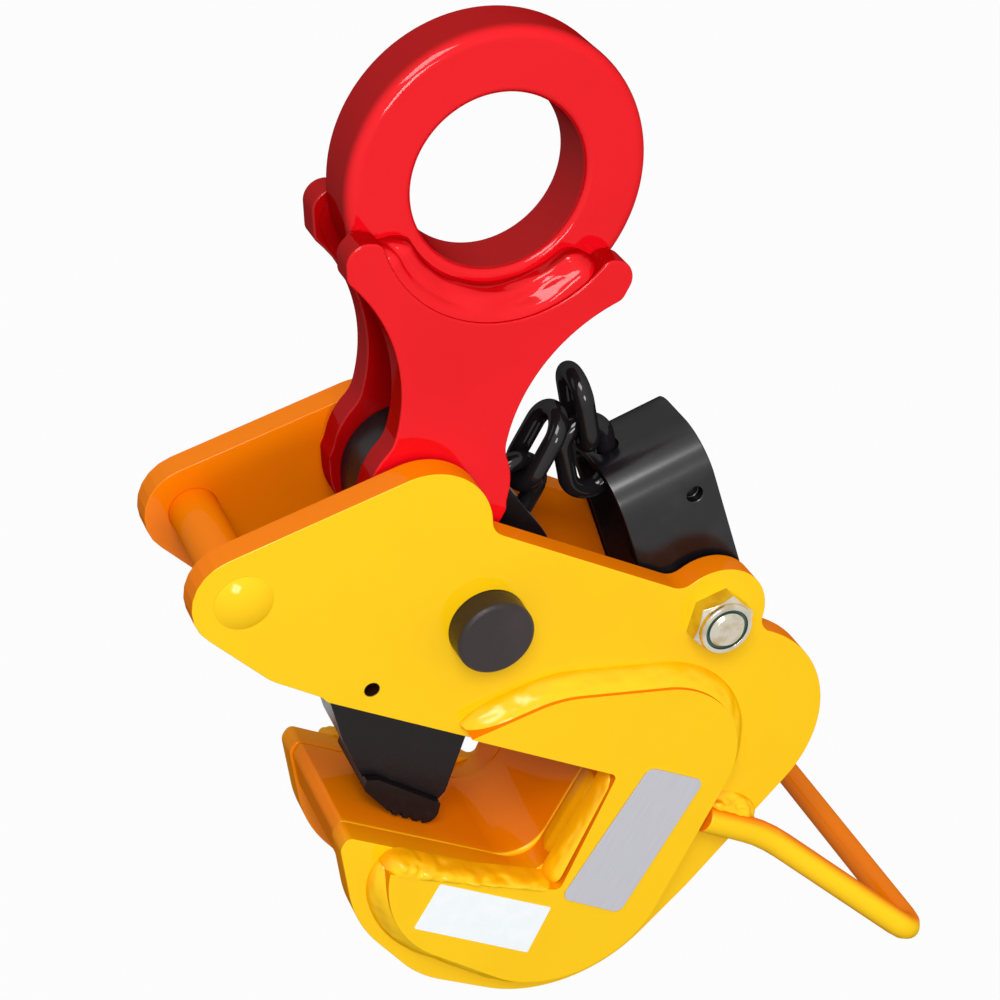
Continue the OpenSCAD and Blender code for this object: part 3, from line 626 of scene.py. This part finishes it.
for node, edge, slot in (("cam_body", CAM_EDGE, "black_paint"),
                         ("cam_shoe", SHOE_EDGE, "blackened_steel")):
    part = own_copy(node, "cam", node + "_black")
    round_edges(part, edge)
    dress(part, cam_black.material)
for node, body in (("main_pin", "hook"), ("front_pin_spacer", "hook"), ("rear_pin_spacer", "hook"),
                   ("ring_pin", "cam")):
    part = own_copy(node, body, node + "_black")
    round_edges(part, PIN_EDGE)
    dress(part, pin_black.material)

# The lever bolt with its lock nut and sleeve: zinc-plated steel with a faint yellow
# tint, and a dark green nylon ring in the nut's collar.
BOLT_EDGE, INSERT_EDGE, ZINC_GRAIN = 0.35 * MM, 0.3 * MM, 0.4 * MM
ZINC, ZINC_STAINED, NYLON_GREEN = (0.66, 0.61, 0.50), (0.54, 0.45, 0.31), (0.012, 0.07, 0.062)
zinc = Finish("zinc_plate", ZINC, roughness=0.26, metallic=1.0)
zinc_stains = zinc.fade(zinc.noise(scale=160, detail=4), low=0.4, high=0.7)
zinc.feed("Base Color", zinc.blend(zinc_stains, ZINC, ZINC_STAINED))
zinc.roughen(zinc.noise(scale=500), least=0.12, most=0.28)
zinc.bump(zinc.noise(scale=600), strength=0.08, distance=ZINC_GRAIN)
nylon = Finish("green_nylon", NYLON_GREEN, roughness=0.42)
nylon.roughen(nylon.noise(scale=700), least=0.32, most=0.52)
for node in ("lever_bolt", "lock_nut", "lever_sleeve"):
    part = own_copy(node, "hook", node + "_zinc")
    round_edges(part, BOLT_EDGE)
    dress(part, zinc.material)
insert = own_copy("nut_insert", "hook", "nut_insert_green")
round_edges(insert, INSERT_EDGE)
dress(insert, nylon.material)

# The lock stirrup: flat steel strap bent to a U, drilled, and blackened by heat under a
# clear lacquer, so that it shines on the bends.
STRAP_EDGE, STRAP_GRAIN, LACQUER_IOR = 0.7 * MM, 0.4 * MM, 1.62
STRAP_BLACK, STRAP_DULL = (0.02, 0.02, 0.022), (0.005, 0.0048, 0.0058)
STRAP_WORN = (0.012, 0.0115, 0.0135)
strap_black = Finish("strap_black", STRAP_BLACK, roughness=0.3)
strap_black.gloss(weight=1.0, roughness=0.22)
strap_black.shader.inputs["Coat IOR"].default_value = LACQUER_IOR
strap_wear = strap_black.fade(strap_black.noise(scale=55, detail=5, roughness=0.6),
                              low=0.45, high=0.75)
strap_black.feed("Base Color", strap_black.blend(strap_wear, STRAP_DULL, STRAP_WORN))
strap_black.roughen(strap_black.noise(scale=90, detail=4), least=0.22, most=0.46)
strap_black.bump(strap_black.noise(scale=300, detail=4), strength=0.07, distance=STRAP_GRAIN)
stirrup = own_copy("lock_stirrup", "stirrup", "lock_stirrup_black")
round_edges(stirrup, STRAP_EDGE)
dress(stirrup, strap_black.material)

# The chain: short welded links of bent wire under black enamel. They hang in the web of the
# stirrup and stand in the eye that is welded to the cam.
LINK_EDGE, LINK_SHARPER_THAN, LINK_GRAIN = 0.3 * MM, 60, 0.5 * MM
LINK_BLACK = (0.009, 0.008, 0.009)
chain_black = Finish("chain_black", LINK_BLACK, roughness=0.16)
chain_black.gloss(weight=0.8)
chain_wear = chain_black.fade(chain_black.noise(scale=200, detail=4), low=0.4, high=0.75)
chain_black.roughen(chain_wear, least=0.1, most=0.32)
chain_black.bump(chain_black.noise(scale=350), strength=0.15, distance=LINK_GRAIN)
for node, body in (("chain_link_1", "link_1"), ("chain_link_2", "link_2"), ("chain_link_3", "link_3"),
                   ("chain_eye", "cam")):
    link = own_copy(node, body, node + "_black")
    round_edges(link, LINK_EDGE, sharper_than=LINK_SHARPER_THAN)
    dress(link, chain_black.material)

# The name plate of brushed grey metal and the white sticker of paper, both flat on the
# front doubler's face. Their corners are X and Z in millimetres.
DOUBLER_FACE_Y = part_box("front_doubler_plate")[0][1]
GLUE = 0.05 * MM
PLATE_CORNERS = (97.2, -108.6), (129.8, -109.8), (131.2, -37.6), (101.2, -37.9)
PLATE_T, PLATE_CORNER_R, PLATE_CORNER_STEPS = 0.9 * MM, 4 * MM, 5
STICKER_CORNERS = (37.3, -137.2), (97.2, -138.6), (95.4, -114.2), (37.5, -113.6)
STICKER_T, STICKER_CORNER_R, STICKER_CORNER_STEPS = 0.25 * MM, 0.8 * MM, 2
EDGE_SHARE, EDGE_STEPS, EDGE_SHARPER_THAN = 0.35, 2, 50
TIN, TIN_DARK, TIN_LIGHT = (0.5, 0.5, 0.55), (0.44, 0.43, 0.48), (0.56, 0.56, 0.60)
PAPER, PAPER_DARK, PAPER_LIGHT = (0.84, 0.88, 0.90), (0.82, 0.87, 0.89), (0.86, 0.89, 0.91)
BRUSHED_SCALE, SHEET_GRAIN = (2500, 2500, 60), 0.3 * MM


def flat_sheet(name, corners, thickness, corner_r, corner_steps, material, body):
    """A thin sheet with round corners, standing on the front doubler's face."""
    bpy.ops.object.select_all(action="DESELECT")
    bpy.ops.mesh.primitive_plane_add(size=1)
    made = bpy.context.object
    made.name = name
    for vertex, (x, z) in zip(made.data.vertices, (corners[0], corners[1], corners[3], corners[2])):
        vertex.co = (x * MM, DOUBLER_FACE_Y + GLUE, z * MM)
    bpy.ops.object.mode_set(mode="EDIT")
    bpy.ops.mesh.select_all(action="SELECT")
    bpy.ops.mesh.bevel(offset=corner_r, segments=corner_steps, affect="VERTICES")
    bpy.ops.mesh.select_all(action="SELECT")
    bpy.ops.mesh.extrude_region_move(TRANSFORM_OT_translate={"value": (0, -thickness, 0)})
    bpy.ops.mesh.select_all(action="SELECT")
    bpy.ops.mesh.normals_make_consistent(inside=False)
    bpy.ops.object.mode_set(mode="OBJECT")
    made.location = (0, 0, 0)
    round_edges(made, thickness * EDGE_SHARE, EDGE_STEPS, EDGE_SHARPER_THAN)
    dress(made, material)
    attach(made, body)


tin = Finish("name_plate_metal", TIN, roughness=0.4, metallic=0.25)
drawn_out = tin.node("ShaderNodeMapping", {}, {"Vector": tin.place, "Scale": BRUSHED_SCALE})
brushed = tin.noise(scale=1.0, where=drawn_out)
tin.feed("Base Color", tin.blend(brushed, TIN_DARK, TIN_LIGHT))
tin.roughen(brushed, least=0.3, most=0.5)
tin.bump(brushed, strength=0.08, distance=SHEET_GRAIN)
flat_sheet("name_plate", PLATE_CORNERS, PLATE_T, PLATE_CORNER_R, PLATE_CORNER_STEPS,
           tin.material, "hook")
paper = Finish("sticker_paper", PAPER, roughness=0.45)
paper_tone = paper.fade(paper.noise(scale=120), low=0.4, high=0.7)
paper.feed("Base Color", paper.blend(paper_tone, PAPER_DARK, PAPER_LIGHT))
paper.roughen(paper_tone, least=0.38, most=0.53)
paper.bump(paper.noise(scale=300), strength=0.06, distance=SHEET_GRAIN)
flat_sheet("white_sticker", STICKER_CORNERS, STICKER_T, STICKER_CORNER_R, STICKER_CORNER_STEPS,
           paper.material, "hook")
